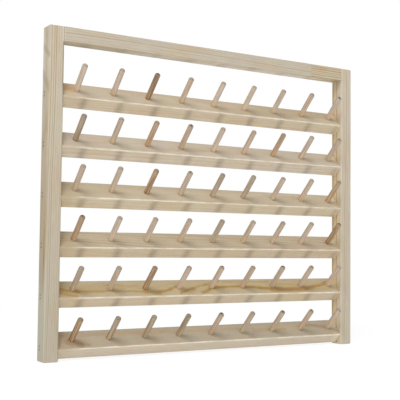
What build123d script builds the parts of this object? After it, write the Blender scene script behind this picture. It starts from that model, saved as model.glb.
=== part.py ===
from build123d import *
import os
from math import cos, radians, sin, tan

# A wall rack for thread spools: an open pine frame with six sloping slats of pegs.
# Lengths are in millimetres and angles in degrees.
# X runs along the rack, Y runs back to the wall and Z is up.
# The back faces lie at Y zero, and the origin is the round entry of the centre keyhole.

# Frame: two uprights with a rail nailed between their tops
upright_width = 16.0
frame_depth = 18.0
rail_height = 15.3
upright_edge_round = 1.5
rail_edge_round = 0.8

# Slats: strips set on edge, so that the peg face looks up and forward
slat_count = 6
slat_pitch = 51.3
slat_slope = 45.0
slat_thickness = 14.8
slat_setback = 1.0
slat_foot_gap = 1.6
slat_edge_round = 0.8
slat_top_round = 0.4
top_space = 56.1

# Pegs: dowels with a domed tip, square to the peg face, on slimmer tenons glued into sockets
pegs_per_slat = 9
peg_pitch = 42.0
peg_radius = 3.0
peg_reach = 33.0
peg_tip_round = 2.2
tenon_radius = 2.8
tenon_shoulder_gap = 0.3
socket_back_wall = 0.6
socket_end_gap = 0.4

# Brads: two through the upright into each end of every slat and of the rail
brads_per_joint = 2
brad_spacing = 3.6
brad_radius = 0.6
brad_head_radius = 1.0
brad_head_height = 0.6
brad_point_length = 1.6
brad_grip = 9.0
left_brad_to_socket = 5.7
right_brad_to_socket = 2.3
rail_brad_drop = 9.2
rail_brad_inset = 5.6

# Keyhole plates: three, let into the back of the rail
plate_names = ["left", "centre", "right"]
plate_spacing = 130.0
plate_length = 34.0
plate_thickness = 1.2
plate_corner_round = 2.0
plate_recess_gap = 0.2
keyhole_entry_radius = 3.75
keyhole_slot_radius = 2.0
keyhole_rise = 4.2
keyhole_margin = 1.2
head_pocket_radius = 4.0
head_pocket_depth = 6.5

# Plate screws: two countersunk screws to a plate
plate_screw_spacing = 26.0
plate_screw_radius = 1.25
plate_screw_head_radius = 2.4
plate_screw_length = 10.0
plate_screw_point_length = 2.5
cross_length = 2.4
cross_width = 0.5
cross_depth = 0.6

# Points and tips: a metal point's blunt end, and the most that a peg's tip is rounded
point_end_share = 0.2
peg_tip_limit_share = 0.9

# Overrun: how far a cutting solid reaches past the face that it cuts
overrun = 1.0

# Derived sizes of a slat's section
slope = radians(slat_slope)
face_run = frame_depth - slat_setback
face_rise = face_run * tan(slope)
lower_face_run = slat_thickness * sin(slope)
lower_face_drop = slat_thickness * cos(slope)
back_face_foot = (face_run - lower_face_run) * tan(slope) - lower_face_drop

# Derived length of a socket, which stops short of the slat's flat back
socket_depth = (face_run / 2 - tenon_radius * cos(slope) - socket_back_wall) / sin(slope)
tenon_length = socket_depth - socket_end_gap + tenon_shoulder_gap

# Derived places along the rack
first_peg_space = brad_grip + left_brad_to_socket + peg_radius
last_peg_space = brad_grip + right_brad_to_socket + peg_radius
inner_width = first_peg_space + (pegs_per_slat - 1) * peg_pitch + last_peg_space
outer_width = inner_width + 2 * upright_width
left_inner_x = -inner_width / 2

# Derived places up the rack
keyhole_height = keyhole_entry_radius + keyhole_rise + keyhole_slot_radius
plate_height = keyhole_height + 2 * keyhole_margin
keyhole_middle = keyhole_height / 2 - keyhole_entry_radius
rail_top = keyhole_middle + rail_height / 2
rail_bottom = rail_top - rail_height
top_arris = rail_bottom - top_space
slat_rise_above_foot = (slat_count - 1) * slat_pitch + lower_face_drop + slat_foot_gap
foot = top_arris - slat_rise_above_foot

BASE = (Align.CENTER, Align.CENTER, Align.MIN)


def row_height(row):
    """Height of a slat's front arris, with row 1 at the top."""
    return top_arris - (row - 1) * slat_pitch


def bar(width, depth, height):
    """A bar with its back face at Y zero, centred in X and standing on Z zero."""
    return Box(width, depth, height, align=(Align.CENTER, Align.MAX, Align.MIN))


def slat_outline():
    """A slat's section in the YZ plane, measured from the height of its front arris."""
    front = (-face_run, 0)
    top = (0, face_rise)
    back = (0, back_face_foot)
    bottom = (-face_run + lower_face_run, -lower_face_drop)
    outline = make_face(Polyline(front, top, back, bottom, close=True))
    sharp = outline.vertices().sort_by(Axis.Y)
    eased = fillet(sharp[:-1], slat_edge_round)
    tip = eased.vertices().sort_by(Axis.Y)[-1]
    return fillet(tip, slat_top_round)


def peg_seat(row, index):
    """Plane on the middle of a slat's peg face, looking along the peg."""
    x = left_inner_x + first_peg_space + index * peg_pitch
    y = -face_run / 2
    z = row_height(row) + face_rise / 2
    return Plane(origin=(x, y, z), x_dir=(1, 0, 0), z_dir=(0, -sin(slope), cos(slope)))


def peg():
    """One dowel, with its shoulder just above the seat and its tenon below."""
    dowel = Cylinder(peg_radius, peg_reach - tenon_shoulder_gap, align=BASE)
    tip_edge = dowel.edges().filter_by(GeomType.CIRCLE).sort_by(Axis.Z)[-1]
    domed = fillet(tip_edge, min(peg_tip_round, peg_radius * peg_tip_limit_share))
    tenon = Pos(0, 0, -tenon_length) * Cylinder(tenon_radius, tenon_length, align=BASE)
    return Pos(0, 0, tenon_shoulder_gap) * (domed + tenon)


def socket():
    """The blind hole for one peg's tenon."""
    return Pos(0, 0, -socket_depth) * Cylinder(tenon_radius, socket_depth + overrun, align=BASE)


def brad():
    """One brad, with the top of its head at Z zero and its point along Z."""
    shank_length = upright_width + brad_grip - brad_point_length
    head = Cylinder(brad_head_radius, brad_head_height, align=BASE)
    shank = Cylinder(brad_radius, shank_length, align=BASE)
    point = Cone(brad_radius, brad_radius * point_end_share, brad_point_length, align=BASE)
    return head + shank + Pos(0, 0, shank_length) * point


def brad_places():
    """The Y and Z of every brad in one upright."""
    middle = slat_outline().center()
    places = []
    for row in range(1, slat_count + 1):
        places.append((middle.X, row_height(row) + middle.Y))
    places.append((rail_brad_inset - frame_depth, rail_top - rail_brad_drop))
    first = -brad_spacing * (brads_per_joint - 1) / 2
    steps = [first + step * brad_spacing for step in range(brads_per_joint)]
    return [(y, z + step) for y, z in places for step in steps]


def brads(side):
    """All brads of one upright: side is -1 on the left and 1 on the right."""
    driven = []
    for y, z in brad_places():
        head = Plane(origin=(side * outer_width / 2, y, z), x_dir=(0, 0, 1), z_dir=(-side, 0, 0))
        driven.append(head * brad())
    return driven


def upright(side):
    """One upright, eased on every edge and drilled by its brads."""
    plain = bar(upright_width, frame_depth, rail_top - foot)
    eased = fillet(plain.edges(), upright_edge_round)
    x = side * (inner_width + upright_width) / 2
    return Pos(x, 0, foot) * eased - brads(side)


def slat(row):
    """One slat, with its peg sockets and the brad holes in its end grain."""
    section = Plane.YZ * Pos(0, row_height(row)) * slat_outline()
    strip = Pos(left_inner_x, 0, 0) * extrude(section, inner_width)
    sockets = [peg_seat(row, index) * socket() for index in range(pegs_per_slat)]
    return strip - sockets - brads(-1) - brads(1)


def pegs(row):
    """The pegs of one slat."""
    return [peg_seat(row, index) * peg() for index in range(pegs_per_slat)]


def keyhole_outline(entry_radius, slot_radius):
    """A round entry with a slot that rises from it, about the middle of the entry."""
    slot = Pos(0, keyhole_rise / 2) * Rectangle(2 * slot_radius, keyhole_rise)
    return Circle(entry_radius) + slot + Pos(0, keyhole_rise) * Circle(slot_radius)


def plate_outline(gap):
    """The outline of a keyhole plate, grown all round by the gap."""
    length = plate_length + 2 * gap
    height = plate_height + 2 * gap
    return Pos(0, keyhole_middle) * RectangleRounded(length, height, plate_corner_round + gap)


def plate_screw():
    """One countersunk screw, with its head's flat at Z zero and its point along Z."""
    shank_length = plate_screw_length - plate_thickness - plate_screw_point_length
    head = Cone(plate_screw_head_radius, plate_screw_radius, plate_thickness, align=BASE)
    shank = Pos(0, 0, plate_thickness) * Cylinder(plate_screw_radius, shank_length, align=BASE)
    tip_radius = plate_screw_radius * point_end_share
    point = Cone(plate_screw_radius, tip_radius, plate_screw_point_length, align=BASE)
    return head + shank + Pos(0, 0, plate_thickness + shank_length) * point


def cross_recess():
    """The driver's cross in a screw head."""
    arm = Box(cross_length, cross_width, cross_depth, align=BASE)
    return arm + Rot(0, 0, 90) * arm


def back_plane(x, z):
    """Plane on the rack's back, with its Y up and its Z into the wood."""
    return Plane(origin=(x, 0, z), x_dir=(1, 0, 0), z_dir=(0, -1, 0))


def plate_seats():
    """The planes of the keyhole plates, from left to right."""
    middle = (len(plate_names) - 1) / 2
    return [back_plane((index - middle) * plate_spacing, 0) for index in range(len(plate_names))]


def screw_seats():
    """The planes of the plate screws, two to a plate."""
    seats = []
    for seat in plate_seats():
        for side in (-1, 1):
            seats.append(seat * Pos(side * plate_screw_spacing / 2, keyhole_middle, 0))
    return seats


def keyhole_plate(seat):
    """One keyhole plate, drilled and countersunk for its two screws."""
    sheet = extrude(plate_outline(0), plate_thickness)
    keyhole = extrude(keyhole_outline(keyhole_entry_radius, keyhole_slot_radius), plate_thickness)
    screws = [screw_seat * plate_screw() for screw_seat in screw_seats()]
    return seat * (sheet - keyhole) - screws


def plate_recess():
    """The shallow bed of a plate and the deeper pocket for the wall screw's head."""
    bed = extrude(plate_outline(plate_recess_gap), plate_thickness)
    pocket_outline = keyhole_outline(head_pocket_radius, head_pocket_radius)
    pocket = Pos(0, 0, plate_thickness) * extrude(pocket_outline, head_pocket_depth)
    return bed + pocket


def top_rail():
    """The rail, with beds for the keyhole plates and holes for screws and brads."""
    plain = bar(inner_width, frame_depth, rail_height)
    eased = fillet(plain.edges().filter_by(Axis.X), rail_edge_round)
    beds = [seat * plate_recess() for seat in plate_seats()]
    screws = [seat * plate_screw() for seat in screw_seats()]
    return Pos(0, 0, rail_bottom) * eased - beds - screws - brads(-1) - brads(1)


def write(name, pieces):
    """Write one node: a single piece, or a group of like pieces."""
    export_step(Compound(pieces), os.path.join("parts", name + ".step"))


def main():
    """Build every node and write it."""
    os.makedirs("parts", exist_ok=True)
    write("left_upright", upright(-1).solids())
    write("right_upright", upright(1).solids())
    write("top_rail", top_rail().solids())
    for row in range(1, slat_count + 1):
        write(f"slat_row_{row}", slat(row).solids())
        write(f"pegs_row_{row}", [piece.solid() for piece in pegs(row)])
    write("brads_left", [piece.solid() for piece in brads(-1)])
    write("brads_right", [piece.solid() for piece in brads(1)])
    for name, seat in zip(plate_names, plate_seats()):
        write(f"keyhole_plate_{name}", keyhole_plate(seat).solids())
    screws = [seat * (plate_screw() - cross_recess()) for seat in screw_seats()]
    write("plate_screws", [screw.solid() for screw in screws])


main()
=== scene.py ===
# %% [markdown]
# # A wall rack for thread spools
# The rack is an open pine frame with six sloping slats, and each slat holds nine pegs.
# Its parts were measured and packed before this lesson, so the first cell only loads them.
# Every part arrives in its own place, in metres, and stays there.
# The work here is the camera, the light, the finishes and the turned pegs.

# %% Load the measured parts
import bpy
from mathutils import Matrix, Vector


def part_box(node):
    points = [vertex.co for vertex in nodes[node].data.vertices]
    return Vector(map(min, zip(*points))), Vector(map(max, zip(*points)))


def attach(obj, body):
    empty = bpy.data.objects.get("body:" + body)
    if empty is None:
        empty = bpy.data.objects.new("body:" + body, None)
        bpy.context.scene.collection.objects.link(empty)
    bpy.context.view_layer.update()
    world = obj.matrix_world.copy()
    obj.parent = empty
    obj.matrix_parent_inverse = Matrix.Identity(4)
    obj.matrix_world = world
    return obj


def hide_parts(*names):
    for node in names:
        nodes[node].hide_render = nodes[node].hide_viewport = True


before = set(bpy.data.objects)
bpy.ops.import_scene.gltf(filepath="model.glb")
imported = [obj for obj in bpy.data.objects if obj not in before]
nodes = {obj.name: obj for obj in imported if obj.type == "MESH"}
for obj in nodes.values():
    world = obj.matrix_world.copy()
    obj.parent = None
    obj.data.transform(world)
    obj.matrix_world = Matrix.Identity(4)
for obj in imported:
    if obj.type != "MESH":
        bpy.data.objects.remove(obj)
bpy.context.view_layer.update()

# %% [markdown]
# ## The names of the measures
# The rack is described in millimetres, as on a maker's drawing, and Blender counts in metres.
# One factor turns the first into the second.
# X runs along the rack, Y runs back to the wall and Z is up.

# %% Set the units and the colour helper
import math
import random
from collections import namedtuple

import bmesh
import bpy
from mathutils import Matrix, Vector

MM = 0.001


def colour(red, green, blue):
    """A colour read from a chart in steps of 0 to 255, as the linear values that a shader takes."""
    # The numbers are those of the sRGB curve, which runs straight near black.
    shares = [step / 255 for step in (red, green, blue)]
    linear = [((share + 0.055) / 1.055) ** 2.4 if share > 0.04045 else share / 12.92 for share in shares]
    return (*linear, 1.0)


print("one millimetre is", MM, "metres, and mid pine is", colour(198, 185, 162))

# %% [markdown]
# ## The camera
# The rack is seen from its left, a little below its middle, through a fairly long lens.
# A camera can be aimed with a constraint, but three turns are easier to repeat exactly.
# It is first stood upright, then tipped up, turned to the right and leaned by less than a degree.

# %% Place the camera
def show(made):
    """Put an object into the scene."""
    bpy.context.scene.collection.objects.link(made)


eye = Vector((-523.0, -835.3, -215.6)) * MM
turn_right = math.radians(31.61)
tip_up = math.radians(3.17)
lean = math.radians(0.616)

lens = bpy.data.cameras.new("rack_camera")
lens.sensor_width = 36.0
lens.lens = 78.09
camera = bpy.data.objects.new("rack_camera", lens)
upright = Matrix.Rotation(math.radians(90) + tip_up, 4, "X")
turned = Matrix.Rotation(-turn_right, 4, "Z") @ upright @ Matrix.Rotation(lean, 4, "Z")
camera.matrix_world = Matrix.Translation(eye) @ turned
show(camera)
bpy.context.scene.camera = camera
bpy.context.scene.view_settings.view_transform = "Standard"
print("camera is", round(eye.length, 3), "m from the centre keyhole, lens", lens.lens, "mm")

# %% [markdown]
# ## Shader nodes in short form
# A finish in Blender is a tree of nodes: some give a place or a pattern, others do sums with it.
# Written out in full, each node takes four or five lines, so a few helpers make them one line each.
# A helper takes plain numbers or the outputs of other nodes, whichever it is given.

# %% Make the helpers for sums
def add(tree, kind, inputs, **options):
    """Add one shader node, set its options, and feed its sockets with values or with other outputs."""
    made = tree.nodes.new(kind)
    for option, value in options.items():
        setattr(made, option, value)
    for socket, value in inputs.items():
        if isinstance(value, bpy.types.NodeSocket):
            tree.links.new(value, made.inputs[socket])
        else:
            made.inputs[socket].default_value = value
    return made


def calc(tree, operation, *values):
    """One sum on plain numbers."""
    return add(tree, "ShaderNodeMath", dict(enumerate(values)), operation=operation).outputs[0]


def calc_place(tree, operation, *values):
    """One sum on places, which have three numbers."""
    made = add(tree, "ShaderNodeVectorMath", dict(enumerate(values)), operation=operation)
    return made.outputs["Value" if operation in ("LENGTH", "DOT_PRODUCT") else "Vector"]


def scale_place(tree, place, factor):
    """A place with its three numbers multiplied by one factor."""
    made = add(tree, "ShaderNodeVectorMath", {0: place, "Scale": factor}, operation="SCALE")
    return made.outputs["Vector"]


def split_place(tree, place):
    """The three numbers of a place."""
    return add(tree, "ShaderNodeSeparateXYZ", {0: place}).outputs


def join_place(tree, x=0.0, y=0.0, z=0.0):
    """A place from three numbers."""
    return add(tree, "ShaderNodeCombineXYZ", {0: x, 1: y, 2: z}).outputs[0]


def ease(tree, value, start, end, low=0.0, high=1.0):
    """A soft step from low to high as the value goes from start to end."""
    inputs = {"Value": value, "From Min": start, "From Max": end, "To Min": low, "To Max": high}
    return add(tree, "ShaderNodeMapRange", inputs, interpolation_type="SMOOTHSTEP").outputs["Result"]


print("seven helpers for sums are ready")

# %% [markdown]
# ## Noise and colour in short form
# Noise is the stuff of every finish here: stretched along the grain it gives fibres, and slow and
# round it gives clouds of tint.
# Its lumps are sized in millimetres, and a seed moves it to another stretch of the same noise.

# %% Make the helpers for noise and colour
seed_moves = (17.3, 7.9, 3.7)
noise_middle = (0.5, 0.5, 0.5)


def noise(tree, place, stretch, seed, detail=2.0, rough=0.5):
    """Smooth noise from 0 to 1 whose lumps are as long as stretch says, in millimetres."""
    finer = calc_place(tree, "DIVIDE", place, stretch)
    moved = calc_place(tree, "ADD", finer, tuple(seed * move for move in seed_moves))
    inputs = {"Vector": moved, "Scale": 1.0, "Detail": detail, "Roughness": rough}
    return add(tree, "ShaderNodeTexNoise", inputs)


def push(tree, noise_colour, reach):
    """A push either way, of up to half the reach, from noise whose three numbers go from 0 to 1."""
    return calc_place(tree, "MULTIPLY", calc_place(tree, "SUBTRACT", noise_colour, noise_middle), reach)


def mix(tree, share, first, second, way="MIX"):
    """A blend of two colours."""
    # A mix node takes its colours at sockets 6 and 7, and gives the blend at output 2.
    inputs = {0: share, 6: first, 7: second}
    made = add(tree, "ShaderNodeMix", inputs, data_type="RGBA", blend_type=way)
    return made.outputs[2]


def tone(tree, base, value):
    """A colour made darker or lighter by one number."""
    grey = add(tree, "ShaderNodeCombineColor", {0: value, 1: value, 2: value}).outputs[0]
    return mix(tree, 1.0, base, grey, way="MULTIPLY")


def raise_bump(tree, shader, strength, depth, height):
    """A fine relief on a finish, raised where height is near 1."""
    lift = add(tree, "ShaderNodeBump", {"Strength": strength, "Distance": depth, "Height": height})
    tree.links.new(lift.outputs[0], shader.inputs["Normal"])


def new_finish(name):
    """An empty finish: its tree, its shader and the place on the part in millimetres."""
    finish = bpy.data.materials.new(name)
    finish.use_nodes = True
    tree = finish.node_tree
    metres = tree.nodes.new("ShaderNodeTexCoord").outputs["Object"]
    place = calc_place(tree, "MULTIPLY", metres, (1 / MM, 1 / MM, 1 / MM))
    return finish, tree, tree.nodes["Principled BSDF"], place


print("six helpers for noise and colour are ready")

# %% [markdown]
# ## The white surround
# The rack is shown on plain white, so the space behind it has to be white as well.
# More light would wash the pale pine out.
# Instead, the world shows white only to the camera and in reflections, and the wood gets a plain,
# even light.

# %% Make the white world
def seen_directly(tree):
    """One where a ray comes from the camera, from a mirror-like surface or through glass."""
    path = tree.nodes.new("ShaderNodeLightPath")
    mirrored = calc(tree, "MAXIMUM", path.outputs["Is Camera Ray"], path.outputs["Is Glossy Ray"])
    return calc(tree, "MAXIMUM", mirrored, path.outputs["Is Transmission Ray"])


white = (1, 1, 1, 1)
even_light = 0.56

world = bpy.data.worlds.new("white_surround")
bpy.context.scene.world = world
world.use_nodes = True
sky = world.node_tree
sky.nodes.clear()
soft_white = add(sky, "ShaderNodeBackground", {"Color": white, "Strength": even_light})
pure_white = add(sky, "ShaderNodeBackground", {"Color": white, "Strength": 1.0})
choice = {0: seen_directly(sky), 1: soft_white.outputs[0], 2: pure_white.outputs[0]}
shown = add(sky, "ShaderNodeMixShader", choice)
add(sky, "ShaderNodeOutputWorld", {"Surface": shown.outputs[0]})
print("the world lights at", even_light, "and looks white")

# %% [markdown]
# ## The floor
# A large disc, which is no part of the rack, lies at the height of the rack's feet.
# Far out it shows plain white, as the world does.
# Near the feet it keeps a part of its real shading, so that the rack still casts a shadow there.
# Its own share of white is made a little brighter to make up for what that shading lacks.

# %% Lay the floor
foot_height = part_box("left_upright")[0].z
floor_radius = 4.0
floor_corners = 96
floor_grey = (0.8, 0.8, 0.8, 1)
floor_roughness = 0.9
shadow_fade = (420.0, 760.0)
shadow_share = 0.28
floor_in_light = 0.60

disc = bmesh.new()
bmesh.ops.create_circle(disc, cap_ends=True, radius=floor_radius, segments=floor_corners)
floor_mesh = bpy.data.meshes.new("floor")
disc.to_mesh(floor_mesh)
disc.free()
floor = bpy.data.objects.new("floor", floor_mesh)
floor.location.z = foot_height
show(floor)
floor.visible_shadow = False

finish, tree, shader, place = new_finish("floor_white")
shader.inputs["Base Color"].default_value = floor_grey
shader.inputs["Roughness"].default_value = floor_roughness
from_rack = calc_place(tree, "LENGTH", place)
shaded = ease(tree, from_rack, *shadow_fade, shadow_share, 0.0)
unshaded = calc(tree, "SUBTRACT", 1.0, shaded)
missing = calc(tree, "SUBTRACT", 1.0, calc(tree, "MULTIPLY", shaded, floor_in_light))
glow = calc(tree, "DIVIDE", missing, unshaded)
glowing = add(tree, "ShaderNodeEmission", {"Color": white, "Strength": glow})
share = calc(tree, "MULTIPLY", unshaded, seen_directly(tree))
both = add(tree, "ShaderNodeMixShader", {0: share, 1: shader.outputs[0], 2: glowing.outputs[0]})
tree.links.new(both.outputs[0], tree.nodes["Material Output"].inputs["Surface"])
floor_mesh.materials.append(finish)
print("the floor lies at", round(foot_height / MM, 2), "mm")

# %% [markdown]
# ## The lamps
# Each peg throws a soft shadow on the slat, to its right and a little down the slope, so the main
# lamp hangs high on the left.
# The narrow lower faces are as bright as the wide ones, and carry soft shadows of the pegs below them,
# so a second lamp shines up from low on the left.
# In a studio it would stand under a milky light table; here the floor simply lets it through.
# Large square lamps give the soft edges that small ones can't.

# %% Hang the lamps
rack_middle = Vector((0.0, 0.0, -0.16))


def lamp(name, direction, distance, size, power):
    """A square lamp that hangs in that direction from the rack's middle and shines at it."""
    light = bpy.data.lights.new(name, "AREA")
    light.size = size
    light.energy = power
    made = bpy.data.objects.new(name, light)
    away = Vector(direction).normalized()
    made.location = rack_middle + away * distance
    made.rotation_euler = away.to_track_quat("Z", "Y").to_euler()
    show(made)
    made.visible_camera = False
    print(name, "at", [round(step, 2) for step in made.location], "with", power, "W")


lamp("high_left_lamp", direction=(-0.49, -0.47, 0.73), distance=3.2, size=1.28, power=42.4)
lamp("low_left_lamp", direction=(-0.31, -0.60, -0.80), distance=3.6, size=1.08, power=45.6)

# %% [markdown]
# ## Pine
# Pine is pale, with darker lines where the slow summer wood ends each year's ring.
# A picture of wood would show the same lines on every face.
# Real lines come from cutting through a stack of rings, so the finish works out how far each point
# is from the heart of the tree, and draws a line wherever a ring ends.
# One bar near the heart shows flames, another far from it shows straight lines, from the same sums.
#
# A board is described by how it was cut: where the heart lies, seen along the grain, how far it
# leans away, how wide a ring is, how strong its lines are, its two colours and how its fibres slant.
# A named tuple keeps these together, so that each bar below is a few plain words and numbers.

# %% Describe a board
late_wood = colour(176, 154, 116)
straight = (0.0, 0.0)

board_words = "heart lean ring_width lines seed early late slant"
Board = namedtuple("Board", board_words, defaults=(late_wood, straight))

print("a board has", Board._fields)

# %% [markdown]
# ## Year rings
# Slow noise bends the rings from side to side, so that no line on a face is ruled, and a second
# noise makes some of them wider than others.
# Each ring gets a strength of its own by lot, because no two summers are alike.
# Across a ring the colour rises slowly and falls off at once, as it does in the tree.

# %% Find the year rings
bend_length = (150.0, 28.0, 28.0)
bend_size = (0, 7, 7)
uneven_over = 3
uneven_by = 1.6
summer_rise = (0.35, 0.90)
summer_fall = (0.93, 1.0)
weakest_year = 0.3


def grain_place(tree, place, along):
    """The place with its first number along the grain, for bars that lie along X or stand along Z."""
    x, y, z = split_place(tree, place)
    order = (x, y, z) if along == "X" else (z, y, x)
    return join_place(tree, *order)


def sideways(tree, place, slopes):
    """How far two slopes lead aside, up to this place along the grain."""
    run = split_place(tree, place)[0]
    return join_place(tree, 0.0, *(calc(tree, "MULTIPLY", run, slope) for slope in slopes))


def from_heart(tree, grain, board):
    """The distance from the heart of the tree, which leans away along the board."""
    bends = noise(tree, grain, bend_length, board.seed, detail=1.0).outputs["Color"]
    bent = calc_place(tree, "ADD", grain, push(tree, bends, bend_size))
    centre = calc_place(tree, "ADD", sideways(tree, bent, board.lean), (0, *board.heart))
    away = calc_place(tree, "SUBTRACT", calc_place(tree, "MULTIPLY", bent, (0, 1, 1)), centre)
    return calc_place(tree, "LENGTH", away)


def rings(tree, grain, board):
    """How dark the summer wood is at each place, from 0 to 1."""
    distance = from_heart(tree, grain, board)
    uneven = noise(tree, join_place(tree, distance), (board.ring_width * uneven_over, 1.0, 1.0),
                   board.seed + 5, detail=0.0).outputs[0]
    count = calc(tree, "ADD", calc(tree, "DIVIDE", distance, board.ring_width),
                 calc(tree, "MULTIPLY", uneven, uneven_by))
    part = calc(tree, "FRACT", count)
    rise = ease(tree, part, *summer_rise)
    fall = ease(tree, part, *summer_fall, 1.0, 0.0)
    year = add(tree, "ShaderNodeTexWhiteNoise", {"W": calc(tree, "FLOOR", count)}, noise_dimensions="1D")
    vigour = calc(tree, "MULTIPLY_ADD", year.outputs["Value"], 1 - weakest_year, weakest_year)
    return calc(tree, "MULTIPLY", calc(tree, "MULTIPLY", rise, fall), vigour)


print("the rings bend over", bend_length[0], "mm along the grain")

# %% [markdown]
# ## Stains and streaks
# Resin, knots and old scuffs sit where they sit, and no sum of rings puts them there.
# A stain is a soft patch in three directions, so that it goes on round an edge as it does in wood.
# A streak is a soft line from one place to another on one flat face.
# Both come in lists, so that the marks of a bar can be read line by line.

# %% Draw stains and streaks
stain_raggedness = 0.4
stain_core = 0.2
streak_core = 0.25

Stain = namedtuple("Stain", "centre reach tint strength seed")
Streak = namedtuple("Streak", "start end width tint strength")


def stain(tree, place, base, mark):
    """A soft-edged patch of another colour in the wood, such as a resin streak or the edge of a knot."""
    lumps = tuple(length * stain_raggedness for length in mark.reach)
    ragged = noise(tree, place, lumps, mark.seed, detail=3.0).outputs["Color"]
    offset = calc_place(tree, "DIVIDE", calc_place(tree, "SUBTRACT", place, mark.centre), mark.reach)
    distance = calc_place(tree, "LENGTH", calc_place(tree, "ADD", offset, push(tree, ragged, (1, 1, 1))))
    return mix(tree, ease(tree, distance, stain_core, 1.0, mark.strength, 0.0), base, mark.tint)


def streak(tree, flat, base, mark):
    """A soft line of another colour from start to end on a flat place that has two numbers."""
    run = Vector((mark.end[0] - mark.start[0], mark.end[1] - mark.start[1], 0))
    offset = calc_place(tree, "SUBTRACT", flat, (*mark.start, 0))
    along_run = calc_place(tree, "DOT_PRODUCT", offset, tuple(run))
    reached = calc(tree, "DIVIDE", along_run, run.length_squared)
    within = calc(tree, "MAXIMUM", calc(tree, "MINIMUM", reached, 1.0), 0.0)
    on_line = scale_place(tree, tuple(run), within)
    distance = calc_place(tree, "LENGTH", calc_place(tree, "SUBTRACT", offset, on_line))
    share = ease(tree, distance, mark.width * streak_core, mark.width, mark.strength, 0.0)
    return mix(tree, share, base, mark.tint)


def draw_marks(tree, where, base, marks):
    """Lay a list of stains or streaks over the wood, one after another."""
    for mark in marks:
        one = stain if isinstance(mark, Stain) else streak
        base = one(tree, where, base, mark)
    return base


print("marks ready: a stain has", Stain._fields, "and a streak has", Streak._fields)

# %% [markdown]
# ## The layers of pine
# The pale early wood comes first, with warm blotches and faint clouds of green and pink.
# The rings are laid over it, and fine noise along the grain gives the fibres and the open pores.
# All of them are returned, because the same fibres later steer the roughness and the bump.

# %% Lay the layers of pine
warm_wood = colour(202, 180, 150)
green_tint = (1.0, 1.0, 0.95, 1.0)
pink_tint = (1.0, 0.965, 0.965, 1.0)
blotch_size = (70.0, 11.0, 11.0)
blotch_edge = (0.42, 0.75)
blotch_strength = 0.6
cloud_size = (13.0, 6.0, 6.0)
cloud_edge = (0.35, 0.65)
fibre_size = (18.0, 0.7, 0.7)
pore_size = (7.0, 0.45, 0.45)


def wood_layers(tree, place, along, board):
    """The colour of one length of pine, with its summer wood, its fibres and its pores."""
    grain = grain_place(tree, place, along)
    late = rings(tree, grain, board)
    blotch = noise(tree, grain, blotch_size, board.seed + 1).outputs[0]
    cloud = noise(tree, grain, cloud_size, board.seed + 4, detail=1.0).outputs[0]
    sheared = calc_place(tree, "ADD", grain, sideways(tree, grain, board.slant))
    fibre = noise(tree, sheared, fibre_size, board.seed + 2, detail=3.0, rough=0.6).outputs[0]
    pore = noise(tree, sheared, pore_size, board.seed + 3, detail=1.0).outputs[0]
    body = mix(tree, ease(tree, blotch, *blotch_edge, 0.0, blotch_strength), board.early, warm_wood)
    tint = mix(tree, ease(tree, cloud, *cloud_edge), green_tint, pink_tint)
    tinted = mix(tree, 1.0, body, tint, way="MULTIPLY")
    ringed = mix(tree, calc(tree, "MULTIPLY", late, board.lines), tinted, board.late)
    return ringed, late, fibre, pore


print("fibres are", fibre_size, "mm and pores", pore_size, "mm")

# %% [markdown]
# ## The pine shader
# Bare wood is dull, and a little glossier where the dense summer wood lies.
# The bump is tiny, about a tenth of a millimetre, because the bars are planed and sanded.
# Faces that cut across the grain are darker, as the open ends of the fibres swallow light.

# %% Dress a bar in pine
end_wood = colour(176, 157, 126)
end_face_turn = (0.75, 0.95)
end_share = 0.55
fibre_edge = (0.25, 0.75)
fibre_tones = (0.91, 1.05)
pore_edge = (0.66, 0.78)
pore_tone = 0.86
dull_edge = (0.2, 0.8)
pine_dullness = (0.58, 0.72)
summer_gloss = 0.08
summer_height = 0.5
fibre_height = 0.6
pine_bump = 0.5
pine_bump_depth = 0.12 * MM
pine_specular = 0.35


def end_face(tree, along):
    """One on faces that cut across the grain, where the ends of the fibres show."""
    facing = tree.nodes.new("ShaderNodeNewGeometry").outputs["Normal"]
    axis = (1, 0, 0) if along == "X" else (0, 0, 1)
    square_on = calc(tree, "ABSOLUTE", calc_place(tree, "DOT_PRODUCT", facing, axis))
    return ease(tree, square_on, *end_face_turn)


def dress_pine(tree, shader, along, base, late, fibre, pore):
    """Turn the layers of pine into the colour, roughness and bump of its shader."""
    ended = mix(tree, calc(tree, "MULTIPLY", end_face(tree, along), end_share), base, end_wood)
    fibre_tone = ease(tree, fibre, *fibre_edge, *fibre_tones)
    value = calc(tree, "MULTIPLY", fibre_tone, ease(tree, pore, *pore_edge, 1.0, pore_tone))
    tree.links.new(tone(tree, ended, value), shader.inputs["Base Color"])
    rough = ease(tree, fibre, *dull_edge, *pine_dullness)
    dull = calc(tree, "SUBTRACT", rough, calc(tree, "MULTIPLY", late, summer_gloss))
    tree.links.new(dull, shader.inputs["Roughness"])
    raised = calc(tree, "MULTIPLY", fibre, fibre_height)
    height = calc(tree, "ADD", calc(tree, "MULTIPLY", late, summer_height), raised)
    raise_bump(tree, shader, pine_bump, pine_bump_depth, height)
    shader.inputs["Specular IOR Level"].default_value = pine_specular


def pine(name, along, board, add_marks):
    """A finish of unvarnished pine for one bar, with the marks that are this bar's own."""
    finish, tree, shader, place = new_finish(name)
    base, late, fibre, pore = wood_layers(tree, place, along, board)
    dress_pine(tree, shader, along, add_marks(tree, place, base), late, fibre, pore)
    return finish


def cover(part, finish):
    """Give a part one finish all over."""
    part.data.materials.clear()
    part.data.materials.append(finish)


print("pine recipe ready")

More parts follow.
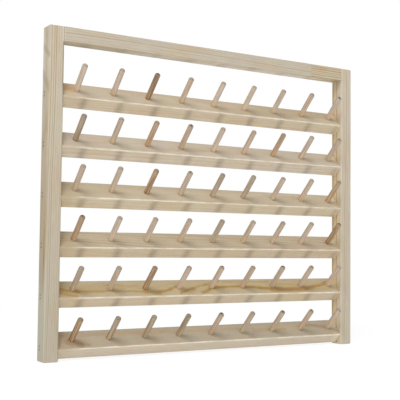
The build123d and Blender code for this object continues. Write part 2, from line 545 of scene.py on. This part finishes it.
# %% [markdown]
# ## The left upright
# Both uprights are cut so that their fronts show straight lines and their sides show broader flames.
# The heart of the tree is therefore far to one side of the bar, and leans a little along it.
# The left one shows its outer side as well, with a brown streak beside the front edge and two olive
# bands near its top.
# The width of the rack and of an upright give the places of its two sides, where its marks lie.

# %% Finish the left upright
half_width = 200.0
upright_width = 16.0
left_x = -half_width
inner_x = half_width - upright_width
side_brown = colour(178, 157, 124)
side_green = colour(174, 180, 160)
side_pale = colour(216, 207, 188)
olive_band = colour(160, 149, 116)
streak_halo = colour(184, 160, 118)
brown_streak = colour(150, 122, 82)
painted_edge_shade = colour(128, 118, 94)
pale_tint_and_painted_light = colour(238, 231, 214)
# Painted shade darkens and greys both uprights toward their feet.
foot_shade = colour(168, 160, 142)
upright_run = (10.0, -340.0)
side_fades = (left_x + 0.4, left_x + 1.8)

side_stains = [
    Stain((left_x, -9, -150), (2.5, 28, 150), side_brown, 0.5, 17.0),
    Stain((left_x, -9, -300), (2.5, 28, 90), side_green, 0.3, 24.0),
    Stain((left_x, -9, -40), (2.5, 28, 75), side_pale, 0.3, 25.0),
]
top_bands = [
    Streak((-12.0, -4.0), (-22.0, -17.0), 4.5, olive_band, 0.5),
    Streak((-38.0, 0.0), (-56.0, -18.0), 6.5, olive_band, 0.5),
]
edge_stains_and_shade = [
    Stain((left_x, -13.5, -222), (5, 4.5, 55), streak_halo, 0.4, 11.0),
    Stain((left_x, -13.2, -222), (4, 1.6, 58), brown_streak, 0.95, 12.0),
    # Painted shade: a dark line down the upright's rounded inner edge, below the rail.
    Stain((-inner_x - 0.6, -17.6, -36), (1.5, 1.6, 60), painted_edge_shade, 0.9, 18.0),
]
# Painted light: the upright's rounded edge beside the rail is painted pale, to lift the shade in the
# groove.
painted_light_at_rail_joint = Streak((-inner_x - 0.2, -5.6), (-inner_x - 0.2, 8.6), 2.1, pale_tint_and_painted_light, 0.8)


def shade_toward_foot(tree, place, base, strength):
    """Painted shade: the upright gets a little darker and greyer from its top to its foot."""
    height = split_place(tree, place)[2]
    return mix(tree, ease(tree, height, *upright_run, 0.0, strength), base, foot_shade)


def left_marks(tree, place, base):
    """Painted shade at the foot and inner edge, the side's tints, bands and streak, and painted light by
    the rail.
    """
    base = shade_toward_foot(tree, place, base, strength=0.5)
    base = draw_marks(tree, place, base, side_stains)
    x, y, z = split_place(tree, place)
    banded = draw_marks(tree, join_place(tree, z, y), base, top_bands)
    base = mix(tree, ease(tree, x, *side_fades, 1.0, 0.0), base, banded)
    base = draw_marks(tree, place, base, edge_stains_and_shade)
    return streak(tree, join_place(tree, x, z), base, painted_light_at_rail_joint)


left_board = Board(heart=(-9.0, -270.0), lean=(0.0, 0.012), ring_width=2.1, lines=1.0, seed=1.0,
                   early=colour(206, 196, 178), late=colour(158, 143, 110))
cover(nodes["left_upright"], pine("left_upright_pine", "Z", left_board, left_marks))
print("left upright finished, from", left_x, "to", -inner_x, "mm")

# %% [markdown]
# ## The right upright
# The right one shows its front and its inner side.
# That side is pale in front, and behind it runs a band of yellow wood between two brown lines.
# Four stains, each longer than the upright, lay these bands one over another.

# %% Finish the right upright
front_pale = colour(224, 207, 182)
rear_yellow = colour(224, 200, 152)
rear_brown = colour(150, 134, 106)
resin_line = colour(166, 136, 94)

inner_stains = [
    Stain((inner_x, -14, -160), (3, 7, 420), front_pale, 0.5, 14.0),
    Stain((inner_x, -4.5, -160), (3, 10.5, 420), rear_yellow, 0.85, 13.0),
    Stain((inner_x, -1.8, -160), (3, 3.4, 420), rear_brown, 0.5, 19.0),
    Stain((inner_x, -9.4, -160), (3, 1.7, 420), resin_line, 0.6, 20.0),
]


def right_marks(tree, place, base):
    """The bands of the inner side, over painted shade that greys the upright toward its foot."""
    return draw_marks(tree, place, shade_toward_foot(tree, place, base, strength=0.3), inner_stains)


right_board = Board(heart=(4.0, 260.0), lean=(0.01, 0.006), ring_width=2.8, lines=0.8, seed=2.0,
                    early=colour(208, 200, 185))
cover(nodes["right_upright"], pine("right_upright_pine", "Z", right_board, right_marks))
print("right upright finished, from", inner_x, "to", half_width, "mm")

# %% [markdown]
# ## The top rail
# The rail is two lengths of pine joined end to end near its right end.
# The long length has faint lines and the short one has strong ones, and they meet at a clean edge.
# Both are worked out for the whole rail, and the place along it says which one shows.
# Its marks are painted light on its end beside the left upright, an orange spot near the joint, and
# painted shade and light on its under side: darker at the left end, where the upright shades it, and
# paler along the middle.

# %% Finish the top rail
joint_place = 137.0
joint_gap = 0.25
joint_line = (0.1, 0.5)
joint_strength = 0.2
rail_orange = colour(192, 152, 108)
under_shade_brown = colour(150, 140, 110)
under_shade_dark = colour(140, 130, 108)
under_painted_light = colour(232, 222, 204)

rail_stains_and_painted_light = [
    # Painted light: the rail's end beside the left upright is painted pale, to lift the shade in the
    # groove.
    Stain((-inner_x, -17.4, 1.2), (1.0, 2.4, 14), pale_tint_and_painted_light, 0.8, 26.0),
    Stain((154, -18, 4.6), (11, 4, 2.4), rail_orange, 0.5, 21.0),
    # Painted shade and light on the under side: darker at its left end, in the upright's shade, paler
    # along the middle.
    Stain((-176, -4, -7.5), (36, 16, 3), under_shade_brown, 0.6, 15.0),
    Stain((-140, -2, -7.5), (90, 18, 3), under_shade_dark, 0.5, 22.0),
    Stain((80, -4, -7.5), (150, 20, 3), under_painted_light, 0.45, 23.0),
]
long_board = Board(heart=(-9.0, 130.0), lean=(0.0, -0.012), ring_width=2.4, lines=0.9, seed=3.0,
                   early=colour(199, 192, 178))
short_board = Board(heart=(-9.0, -120.0), lean=(0.0, -0.03), ring_width=2.7, lines=1.0, seed=4.0,
                    early=colour(205, 191, 164), late=colour(126, 108, 72))


def blend(tree, share, first, second):
    """A number between two others."""
    rest = calc(tree, "SUBTRACT", 1.0, share)
    return calc(tree, "ADD", calc(tree, "MULTIPLY", first, rest), calc(tree, "MULTIPLY", second, share))


finish, tree, shader, place = new_finish("rail_pine")
long_piece = wood_layers(tree, place, "X", long_board)
short_piece = wood_layers(tree, place, "X", short_board)
run = split_place(tree, place)[0]
beyond = ease(tree, run, joint_place - joint_gap, joint_place + joint_gap)
base = mix(tree, beyond, long_piece[0], short_piece[0])
from_joint = calc(tree, "ABSOLUTE", calc(tree, "SUBTRACT", run, joint_place))
base = mix(tree, ease(tree, from_joint, *joint_line, joint_strength, 0.0), base, brown_streak)
base = draw_marks(tree, place, base, rail_stains_and_painted_light)
layers = [blend(tree, beyond, first, second) for first, second in zip(long_piece[1:], short_piece[1:])]
dress_pine(tree, shader, "X", base, *layers)
cover(nodes["top_rail"], finish)
print("rail finished, joined at", joint_place, "mm")

# %% [markdown]
# ## The slats
# Each slat is a strip that lies on a slope, so that its wide face looks up and forward.
# Its front arris is the line where the wide face meets the lower one.
# Marks on the wide face are given along the rack and up the slope from that line, so the place on the
# part is first turned into those two numbers.

# %% Describe the slats
slat_step = 51.3
first_arris = -62.525
arris_depth = -17.0
slat_slope = math.radians(45.0)
rubbed_highlight_pale = colour(236, 227, 208)
rubbed_highlight_width = (0.8, 1.5)
rubbed_highlight_lumps = (14.0, 4.0, 4.0)
rubbed_highlight_patches = (0.3, 0.6)
least_rubbed_highlight = 0.4
rubbed_highlight_from = (-176.0, -150.0)


def arris_height(row):
    """Height of a slat's front arris in millimetres, with row 1 at the top."""
    return first_arris - (row - 1) * slat_step


def wide_face(tree, place, row):
    """The place on a slat's wide face: along the rack, and up the slope from the arris."""
    x, y, z = split_place(tree, place)
    rise = calc(tree, "SUBTRACT", calc(tree, "ADD", y, z), arris_depth + arris_height(row))
    return join_place(tree, x, calc(tree, "MULTIPLY", rise, math.cos(slat_slope)))


def rubbed_and_highlit_arris(tree, place, base, row, seed):
    """A painted highlight along the front arris, partly paler sanded wood, which fades out near the left
    upright.
    """
    corner = calc_place(tree, "SUBTRACT", place, (0, arris_depth, arris_height(row)))
    distance = calc_place(tree, "LENGTH", calc_place(tree, "MULTIPLY", corner, (0, 1, 1)))
    uneven = noise(tree, place, rubbed_highlight_lumps, seed, detail=2.0).outputs[0]
    near = ease(tree, distance, *rubbed_highlight_width, 1.0, 0.0)
    rubbed_highlight = calc(tree, "MULTIPLY", near, ease(tree, uneven, *rubbed_highlight_patches, least_rubbed_highlight, 1.0))
    share = calc(tree, "MULTIPLY", rubbed_highlight, ease(tree, split_place(tree, place)[0], *rubbed_highlight_from))
    return mix(tree, share, base, rubbed_highlight_pale)


print("slats lie", slat_step, "mm apart, the first at", first_arris)

# %% [markdown]
# ## The flames of row 5
# Row 5 is cut so that brown lines rise and fall along its wide face, in a yellower wood.
# A flame is a chain of short streaks, and each streak is drawn twice: first wide and yellow, then
# narrow and brown, as resin has soaked the wood beside the line.

# %% List the flames
flame_yellow = colour(200, 176, 124)
flame_brown = colour(172, 136, 82)
halo_wider = 2.2
halo_strength = 0.8
line_strength = 1.1

flames = [
    ((-84, 6.8), (-66, 5.6), 3.6, 0.70), ((-66, 5.6), (-52, 9.6), 3.2, 0.65),
    ((-52, 9.6), (-38, 17.2), 2.6, 0.6), ((-40, 4.2), (-22, 10.0), 3.2, 0.7),
    ((-22, 10.0), (-4, 16.4), 2.6, 0.55), ((-4, 16.4), (16, 20.6), 2.2, 0.45),
    ((-12, 4.6), (-2, 8.8), 3.0, 0.65), ((-2, 8.8), (10, 12.2), 3.0, 0.75),
    ((10, 12.2), (42, 12.4), 2.4, 0.8), ((42, 12.4), (68, 10.0), 2.6, 0.8),
    ((68, 10.0), (84, 7.4), 3.2, 0.8), ((84, 6.8), (134, 6.4), 4.8, 0.85),
    ((134, 6.8), (157, 12.0), 3.8, 0.75), ((157, 12.0), (183, 20.4), 2.8, 0.65),
    ((-182, 12.8), (-162, 9.4), 3.6, 0.75), ((-160, 9.4), (-84, 7.4), 2.0, 0.5),
    ((-181, 7.6), (-164, 2.2), 3.0, 0.6), ((20, 19.0), (84, 18.4), 2.0, 0.3),
    ((92, 15.0), (132, 13.4), 2.0, 0.3), ((-130, 17.0), (-90, 15.0), 2.2, 0.25),
]
halos = [Streak(start, end, width * halo_wider, flame_yellow, strength * halo_strength)
         for start, end, width, strength in flames]
brown_lines = [Streak(start, end, width, flame_brown, strength * line_strength)
               for start, end, width, strength in flames]
print("streaks in the flames of row 5:", len(flames))

# %% [markdown]
# ## The marks of every row
# Row 1 has an orange patch in its left corner and a faint one near its middle.
# Row 3 is a little browner at its left, and row 6 has dark resin near both ends and faint orange
# streaks along it.
# All slats are a little paler at their right ends, and rows 3 to 6 are painted darker and yellower at
# their left, as shade from the left upright.
# Rows 5 and 6 have a paler line along the front arris.

# %% List the marks of the slats
resin_orange = colour(190, 148, 98)
knot_orange = colour(210, 168, 114)
dark_resin = colour(150, 116, 74)
board_tan = colour(190, 172, 138)
right_end_pale = colour(240, 226, 194)
right_end_run = (171.0, 179.0)
right_end_strength = 0.3
left_end_shade = colour(170, 146, 98)
left_end_run = (-inner_x, -158.0)
left_end_strength = 0.25
first_shaded_row = 3
arris_tint_width = 2.0

row_marks = {
    1: [Streak((-190, 17.0), (-172, 14.0), 9.0, knot_orange, 0.75),
        Streak((-36, 7.5), (-10, 6.5), 4.0, resin_orange, 0.1),
        Streak((-30, 9.0), (-8, 9.0), 8.0, pale_tint_and_painted_light, 0.16)],
    3: [Streak((-inner_x, 12.0), (-124, 12.0), 12.0, board_tan, 0.35)],
    5: [Streak((-inner_x, 12.0), (inner_x, 12.0), 12.0, flame_yellow, 0.4),
        Streak((-inner_x, 14.0), (-112, 14.0), 9.0, dark_resin, 0.14), *halos, *brown_lines],
    6: [Streak((-170, 9.5), (-158, 6.4), 6.5, dark_resin, 0.5),
        Streak((-160, 6.6), (-148, 4.8), 3.4, dark_resin, 0.35),
        Streak((-178, 18.0), (-60, 17.0), 3.6, resin_orange, 0.35),
        Streak((-60, 17.0), (60, 16.0), 3.0, resin_orange, 0.28),
        Streak((60, 13.5), (106, 12.2), 3.8, resin_orange, 0.42),
        Streak((140, 17.0), (170, 12.0), 4.0, dark_resin, 0.45)],
}
arris_tints = {
    5: Streak((-inner_x, 0), (inner_x, 0), arris_tint_width, colour(212, 200, 182), 0.28),
    6: Streak((-inner_x, 0), (inner_x, 0), arris_tint_width, colour(214, 206, 192), 0.28),
}
print("rows with marks of their own:", sorted(row_marks))

# %% [markdown]
# ## From a list to a slat
# The streaks are drawn on a face that noise has bent a little, so that none of them is ruled.
# The line along the front arris stays straight, as the arris does, and the painted highlight on the
# arris, with its paler sanded wood, comes last.

# %% Mark one slat
face_bend_length = (16.0, 5.0, 5.0)
face_bend = (8, 5, 0)


def tinted_and_shaded_ends(tree, place, base, row):
    """A pale tint at a slat's right end, and painted shade from the left upright at its left end."""
    run = split_place(tree, place)[0]
    base = mix(tree, ease(tree, run, *right_end_run, 0.0, right_end_strength), base, right_end_pale)
    if row >= first_shaded_row:
        base = mix(tree, ease(tree, run, *left_end_run, left_end_strength, 0.0), base, left_end_shade)
    return base


def slat_marks(row, seed):
    """The marks of one slat, as a step in its pine finish."""
    def add_marks(tree, place, base):
        flat = wide_face(tree, place, row)
        ragged = noise(tree, place, face_bend_length, seed, detail=2.0).outputs["Color"]
        bent = calc_place(tree, "ADD", flat, push(tree, ragged, face_bend))
        base = draw_marks(tree, bent, base, row_marks.get(row, []))
        base = tinted_and_shaded_ends(tree, place, base, row)
        if row in arris_tints:
            base = streak(tree, flat, base, arris_tints[row])
        return rubbed_and_highlit_arris(tree, place, base, row, seed + 1)
    return add_marks


print("a slat's face bends by up to", face_bend[0] / 2, "mm along it")

# %% [markdown]
# ## Six boards
# The six slats come from six different boards, and each gets its own heart, lean and line strength.
# The heart is given from the slat's own front arris, so the loop adds the height of the row.
# Row 4 is cut farthest from the heart of a tree with narrow rings, so its lines are close and nearly
# straight, and row 6 is greyer, with fibres that slant across it.

# %% Finish the slats
slat_boards = {
    1: Board((-60.0, 60.0), (0.0, 0.01), 3.8, 0.5, 17.0, colour(208, 195, 171)),
    2: Board((-50.0, 80.0), (0.0, 0.008), 4.2, 0.5, 24.0, colour(209, 198, 180)),
    3: Board((-70.0, 60.0), (0.0, -0.01), 3.9, 0.5, 31.0, colour(208, 196, 172)),
    4: Board((-20.0, 140.0), (0.0, -0.03), 2.4, 0.7, 38.0, colour(203, 190, 166)),
    5: Board((-60.0, 70.0), (0.0, 0.02), 4.0, 0.5, 45.0, colour(200, 187, 160)),
    6: Board((-60.0, 70.0), (0.0, 0.01), 4.0, 0.3, 52.0, colour(188, 178, 158), slant=(-0.15, 0.15)),
}
marks_seed_step = 20
for row, board in slat_boards.items():
    depth, height = board.heart
    in_place = board._replace(heart=(depth, height + arris_height(row)))
    add_marks = slat_marks(row, board.seed + marks_seed_step)
    cover(nodes[f"slat_row_{row}"], pine(f"slat_{row}_pine", "X", in_place, add_marks))
print("slats finished:", len(slat_boards))

# %% [markdown]
# ## The pegs
# A peg is a short length of dowel with its end sanded to a dome.
# It could be a cylinder with a bevel, but an outline spun round an axis gives the dome its true curve.
# Its seat lies in the middle of the wide face.
# The outline starts a little inside the slat, so that no gap shows at the peg's foot.

# %% Describe one dowel
peg_radius = 3.0
peg_reach = 33.0
peg_pitch = 42.0
first_peg = -166.3
pegs_in_row = 9
seat_back = -8.5
seat_rise = 8.5
shaft_places = (-2.0, 0.0, 8.0, 20.0)
dome_round = 2.2
dome_steps = 7
turns = 28


def dowel_outline():
    """Half the outline of a peg: pairs of distance along the axis and radius, from seat to tip."""
    outline = [(along, peg_radius) for along in shaft_places]
    flat = peg_radius - dome_round
    for step in range(dome_steps + 1):
        angle = math.radians(90) * step / dome_steps
        outline.append((peg_reach - dome_round + dome_round * math.sin(angle),
                        flat + dome_round * math.cos(angle)))
    return outline


print("dowel outline has", len(dowel_outline()), "points")

# %% [markdown]
# ## The round of a dowel
# Sanding by hand leaves a dowel a hair out of round, so two soft waves run round it, and each takes
# less than a hundredth off its radius.
# The loops of points round it are joined with faces, and the last loop at each end is closed.

# %% Shape and skin a dowel
crests = (2, 3)
deepest_wave = 0.008


def sanded(waves, angle):
    """The share of its radius that a dowel keeps at one angle."""
    return 1 - sum(depth * (1 + math.cos(count * angle + start)) / 2
                   for count, (start, depth) in zip(crests, waves))


def skin(mesh, loops):
    """Join loops of vertices with faces, and close both ends."""
    for lower, upper in zip(loops, loops[1:]):
        for turn in range(turns):
            following = (turn + 1) % turns
            mesh.faces.new((lower[turn], lower[following], upper[following], upper[turn]))
    mesh.faces.new(loops[-1])
    mesh.faces.new(list(reversed(loops[0])))


print("waves round a dowel have", crests, "crests")

# %% [markdown]
# ## Nine pegs to a row
# Each row of pegs is spun as one mesh, as the rows are one node each in the measured rack.
# Three named attributes go onto the mesh: the place along and across the dowel, a number for the
# dowel, and whether its end shows the pith.
# They let one finish give every peg its own grain, and they stay with the mesh wherever it goes.

# %% Spin the rows of pegs
dowel_seed = 54
numbers_per_row = 10
pith_pegs = {(1, 3), (1, 8), (1, 9), (2, 4), (2, 9), (3, 4), (4, 1), (4, 9), (5, 5), (5, 7), (5, 8),
             (6, 5), (6, 7), (6, 8)}


def spin_row(row, chance):
    """One mesh for a row of pegs, with its three attributes."""
    mesh = bmesh.new()
    on_dowel = mesh.verts.layers.float_vector.new("dowel_place")
    number = mesh.verts.layers.float.new("dowel_number")
    spot = mesh.verts.layers.float.new("pith_spot")
    axis = Vector((0.0, -math.sin(slat_slope), math.cos(slat_slope)))
    side = Vector((1.0, 0.0, 0.0))
    over = axis.cross(side)
    for index in range(pegs_in_row):
        seat = Vector((first_peg + index * peg_pitch, seat_back, arris_height(row) + seat_rise))
        waves = [(chance.uniform(0, math.tau), chance.uniform(0, deepest_wave)) for _ in crests]
        loops = []
        for along, radius in dowel_outline():
            loop = []
            for turn in range(turns):
                angle = math.tau * turn / turns
                out = side * math.cos(angle) + over * math.sin(angle)
                vert = mesh.verts.new((seat + axis * along + out * radius * sanded(waves, angle)) * MM)
                vert[on_dowel] = Vector((math.cos(angle) * radius, math.sin(angle) * radius, along))
                vert[number] = row * numbers_per_row + index
                vert[spot] = float((row, index + 1) in pith_pegs)
                loop.append(vert)
            loops.append(loop)
        skin(mesh, loops)
    for face in mesh.faces:
        face.smooth = True
    made = bpy.data.meshes.new(f"turned_pegs_{row}")
    mesh.normal_update()
    mesh.to_mesh(made)
    mesh.free()
    return made


chance = random.Random(dowel_seed)
peg_rows = {}
for row in slat_boards:
    piece = bpy.data.objects.new(f"turned_pegs_{row}", spin_row(row, chance))
    show(piece)
    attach(piece, "root")
    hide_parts(f"pegs_row_{row}")
    peg_rows[row] = piece
print("rows of pegs spun:", len(peg_rows))

# %% [markdown]
# ## Dowel wood
# The dowels are a close-grained wood, cut from many lengths, so no two match.
# One recipe serves them all: it is given two colours, and the rest follows from the dowel's number,
# which moves the noise along and changes the tone a little.
# The foot is a little warmer, from the light that the slat beside it throws back.

# %% Write the dowel's body
dowel_spread = (31.0, 47.0, 13.0)
stripe_size = (1.0, 1.0, 34.0)
stripe_edge = (0.42, 0.60)
dowel_cloud_size = (4.0, 4.0, 16.0)
dowel_cloud_edge = (0.4, 0.7)
dowel_cloud_strength = 0.5
fleck_size = (0.35, 0.35, 3.0)
warm_foot = (1.09, 1.03, 0.93, 1.0)
cool_top = (1.0, 1.0, 1.01, 1.0)
foot_run = (3.0, 16.0)


def attribute(tree, name, kind):
    """One of the attributes that the spun mesh carries."""
    return add(tree, "ShaderNodeAttribute", {}, attribute_name=name).outputs[kind]


def dowel_body(tree, along, stripes, cloud, pale, dark):
    """The stripes and clouds of one dowel, warmer at its foot."""
    body = mix(tree, ease(tree, stripes, *stripe_edge), pale, dark)
    clouded = mix(tree, ease(tree, cloud, *dowel_cloud_edge, 0.0, dowel_cloud_strength), body, dark)
    warmed = mix(tree, ease(tree, split_place(tree, along)[2], *foot_run), warm_foot, cool_top)
    return mix(tree, 1.0, clouded, warmed, way="MULTIPLY")


print("dowel stripes are", stripe_size, "mm")

# %% [markdown]
# ## The end of a dowel
# The dome cuts across the fibres, and that end grain looks darker, most of all round its rim.
# In some dowels the dark pith of the tree shows as a spot, off the middle by lot.

# %% Write the dowel's end
end_grain = colour(112, 106, 97)
pith_brown = colour(74, 58, 46)
rim_run = (peg_reach - dome_round + 0.3, peg_reach - 0.8)
rim_strength = 0.42
flat_run = (peg_reach - 0.5, peg_reach)
flat_paler = 0.25
pith_aside = (1.6, 1.6, 0)
pith_edge = (0.8, 1.8)
pith_strength = 0.95
pith_run = (peg_reach - 1.6, peg_reach - 0.5)


def dowel_end(tree, along, base, chance_of, spot):
    """The darker end grain on the dome, with a spot of pith where the dowel has one."""
    height = split_place(tree, along)[2]
    rim = ease(tree, height, *rim_run, 0.0, rim_strength)
    flat_end = ease(tree, height, *flat_run, 0.0, flat_paler)
    tipped = mix(tree, calc(tree, "SUBTRACT", rim, flat_end), base, end_grain)
    aside = push(tree, chance_of.outputs["Color"], pith_aside)
    level = calc_place(tree, "MULTIPLY", along, (1, 1, 0))
    across = calc_place(tree, "LENGTH", calc_place(tree, "SUBTRACT", level, aside))
    pith = calc(tree, "MULTIPLY", ease(tree, across, *pith_edge, pith_strength, 0.0),
                ease(tree, height, *pith_run))
    return mix(tree, calc(tree, "MULTIPLY", pith, spot), tipped, pith_brown)


print("dowel end ready, from", rim_run[0], "mm up the peg")

# %% [markdown]
# ## The dowel finish
# The body, the end and fine flecks come together in one shader.
# A dowel is smoother than the planed bars, so its bump is a little lower and its gloss higher.

# %% Write the dowel recipe
dowel_tones = (0.94, 1.05)
fleck_edge = (0.3, 0.7)
fleck_tones = (0.95, 1.03)
dowel_dullness = (0.5, 0.66)
dowel_bump = 0.4
dowel_bump_depth = 0.1 * MM


def dowel(name, pale, dark, seed):
    """A finish for pegs, which reads its place from the mesh and changes with the dowel's number."""
    finish, tree, shader, _ = new_finish(name)
    along = attribute(tree, "dowel_place", "Vector")
    number = attribute(tree, "dowel_number", "Fac")
    spot = attribute(tree, "pith_spot", "Fac")
    moved = calc_place(tree, "ADD", along, scale_place(tree, dowel_spread, number))
    stripes = noise(tree, moved, stripe_size, seed, detail=2.0).outputs[0]
    fleck = noise(tree, moved, fleck_size, seed + 1, detail=1.0).outputs[0]
    cloud = noise(tree, moved, dowel_cloud_size, seed + 2, detail=1.0).outputs[0]
    chance_of = add(tree, "ShaderNodeTexWhiteNoise", {"W": number}, noise_dimensions="1D")
    body = dowel_body(tree, along, stripes, cloud, pale, dark)
    ended = dowel_end(tree, along, body, chance_of, spot)
    own_tone = ease(tree, chance_of.outputs["Value"], 0.0, 1.0, *dowel_tones)
    value = calc(tree, "MULTIPLY", own_tone, ease(tree, fleck, *fleck_edge, *fleck_tones))
    tree.links.new(tone(tree, ended, value), shader.inputs["Base Color"])
    tree.links.new(ease(tree, fleck, *dull_edge, *dowel_dullness), shader.inputs["Roughness"])
    raise_bump(tree, shader, dowel_bump, dowel_bump_depth, stripes)
    return finish


print("dowel recipe ready")

# %% [markdown]
# ## The wood of every peg
# Most dowels are sand or beige, some are paler, greyer or tan, and a few are brown heartwood.
# The pegs that stand out are named by row and place, and the others take their wood by a seeded draw.
# In the top row the draw prefers beige to tan, and in the lowest tan to beige.
# Each peg has the same number of faces, so the count of faces says which peg a face belongs to.

# %% Choose the wood of every peg
pale_and_dark = {
    "sand": (colour(194, 176, 155), colour(171, 151, 128)),
    "cream": (colour(202, 186, 168), colour(183, 165, 144)),
    "beige": (colour(197, 180, 161), colour(176, 157, 136)),
    "tan": (colour(191, 170, 147), colour(168, 145, 120)),
    "grey": (colour(182, 166, 145), colour(157, 139, 116)),
    "honey": (colour(189, 162, 133), colour(160, 131, 100)),
    "drab": (colour(179, 161, 137), colour(143, 123, 98)),
    "brown": (colour(184, 153, 117), colour(132, 105, 78)),
}
dowel_woods = {}
for seed, (wood, (pale, dark)) in enumerate(pale_and_dark.items(), start=1):
    dowel_woods[wood] = dowel(f"dowel_{wood}", pale, dark, seed)
standing_out = {
    "cream": {(1, 1), (1, 5), (1, 6), (1, 9), (2, 5), (4, 2)},
    "grey": {(3, 5), (3, 6), (4, 5), (5, 1), (6, 6)},
    "honey": {(2, 3), (2, 7), (3, 9), (4, 1)},
    "drab": {(2, 1), (6, 2), (6, 3), (6, 4)},
    "brown": {(1, 3), (3, 3), (4, 9), (5, 3), (6, 1)},
}
usual_woods = ("beige", "sand", "tan")
wood_seed = 8707
draw = random.Random(wood_seed)


def wood_of_row(row):
    """The wood of each peg in a row."""
    weights = (len(peg_rows) + 1 - row, len(peg_rows), row)
    woods = [draw.choices(usual_woods, weights=weights)[0] for _ in range(pegs_in_row)]
    for wood, pegs in standing_out.items():
        for peg_row, peg in pegs:
            if peg_row == row:
                woods[peg - 1] = wood
    return woods


wood_names = list(dowel_woods)
end_faces = 2
faces_per_peg = (len(dowel_outline()) - 1) * turns + end_faces
for row, piece in peg_rows.items():
    for wood in dowel_woods.values():
        piece.data.materials.append(wood)
    row_woods = wood_of_row(row)
    for face in piece.data.polygons:
        face.material_index = wood_names.index(row_woods[face.index // faces_per_peg])
print("dowel woods:", wood_names)

# %% [markdown]
# ## Steel
# The brads are plain steel with dull flat heads, and the plates and screws are bright zinc.
# The two brads that hold the rail are set under a dab of filler, so they hardly show.
# On such small parts the finish is a soft mottling with a little wear.

# %% Finish the steel parts
mottle_size = (2.5, 2.5, 2.5)
mottle_edge = (0.35, 0.7)
grit_size = (0.25, 0.25, 0.25)
dullness_range = (-0.1, 0.12)
steel_bump = 0.3
steel_bump_depth = 0.03 * MM
filler = colour(172, 156, 128)
filler_fade = 1.0


def steel(name, base, worn, dullness, seed, filled_above=None):
    """A finish of steel, under a dab of filler where the place is above a given height."""
    finish, tree, shader, place = new_finish(name)
    mottle = noise(tree, place, mottle_size, seed, detail=3.0).outputs[0]
    grit = noise(tree, place, grit_size, seed + 1, detail=2.0).outputs[0]
    metal = mix(tree, ease(tree, mottle, *mottle_edge), base, worn)
    shader.inputs["Metallic"].default_value = 1.0
    if filled_above is not None:
        height = split_place(tree, place)[2]
        filled = ease(tree, height, filled_above - filler_fade, filled_above + filler_fade)
        metal = mix(tree, filled, metal, filler)
        tree.links.new(calc(tree, "SUBTRACT", 1.0, filled), shader.inputs["Metallic"])
    tree.links.new(metal, shader.inputs["Base Color"])
    low, high = (dullness + step for step in dullness_range)
    tree.links.new(ease(tree, grit, *dull_edge, low, high), shader.inputs["Roughness"])
    raise_bump(tree, shader, steel_bump, steel_bump_depth, grit)
    return finish


steel_finishes = {
    "brads": steel("brad_steel", colour(104, 98, 90), colour(78, 72, 64), 0.5, 41.0, filled_above=-30.0),
    "keyhole_plate": steel("plate_zinc", colour(196, 198, 200), colour(170, 172, 172), 0.32, 42.0),
    "plate_screws": steel("screw_zinc", colour(188, 186, 180), colour(160, 156, 148), 0.28, 43.0),
}
for name, part in nodes.items():
    for beginning, finish in steel_finishes.items():
        if name.startswith(beginning):
            cover(part, finish)
print("steel parts finished")
